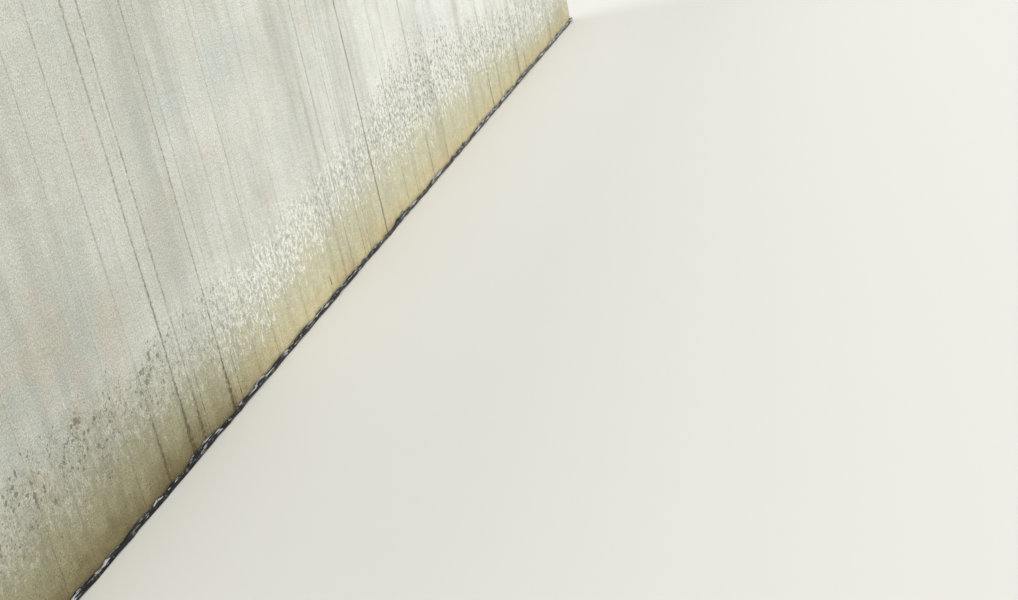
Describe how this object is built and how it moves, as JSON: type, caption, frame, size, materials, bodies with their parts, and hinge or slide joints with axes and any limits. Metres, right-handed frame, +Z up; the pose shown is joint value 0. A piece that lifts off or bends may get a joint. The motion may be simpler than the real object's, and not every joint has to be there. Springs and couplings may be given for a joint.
{
  "type": "rendered brick garden wall",
  "caption": "Straight garden boundary wall of brickwork with painted cement render, movement joints between bays, a weathered coping and a black damp-proof strip along its foot.",
  "frame": {"origin": "on the ground, at the middle of the wall's length and thickness", "axes": "+X along the wall, +Y through its thickness away from the garden side, +Z up"},
  "size_m": [12.05, 0.306, 1.7815],
  "materials": {
    "painted_render": "trowelled and painted, weathered",
    "brickwork": "fired clay",
    "coping_concrete": "cast, weathered",
    "mortar": "struck joint",
    "joint_sealant": "tooled, dirty",
    "joint_board": "closed-cell foam",
    "damp_proof_strip": "glossy, creased"
  },
  "bodies": {
    "root": {"brick_core_1": "brickwork", "brick_core_2": "brickwork", "brick_core_3": "brickwork", "front_render_1": "painted_render", "front_render_2": "painted_render", "front_render_3": "painted_render", "back_render_1": "painted_render", "back_render_2": "painted_render", "back_render_3": "painted_render", "near_end_render": "painted_render", "far_end_render": "painted_render", "joint_filler_1": "joint_board", "joint_filler_2": "joint_board", "front_sealant_1": "joint_sealant", "front_sealant_2": "joint_sealant", "back_sealant_1": "joint_sealant", "back_sealant_2": "joint_sealant", "coping_sealant_1": "joint_sealant", "coping_sealant_2": "joint_sealant", "coping_mortar_1": "mortar", "coping_mortar_2": "mortar", "coping_mortar_3": "mortar", "coping_1": "coping_concrete", "coping_2": "coping_concrete", "coping_3": "coping_concrete", "coping_4": "coping_concrete", "coping_5": "coping_concrete", "coping_6": "coping_concrete", "coping_7": "coping_concrete", "coping_8": "coping_concrete", "coping_9": "coping_concrete", "coping_10": "coping_concrete", "coping_11": "coping_concrete", "coping_12": "coping_concrete", "front_damp_proof_strip_1": "damp_proof_strip", "front_damp_proof_strip_2": "damp_proof_strip", "front_damp_proof_strip_3": "damp_proof_strip", "back_damp_proof_strip_1": "damp_proof_strip", "back_damp_proof_strip_2": "damp_proof_strip", "back_damp_proof_strip_3": "damp_proof_strip"}
  },
  "joints": []
}
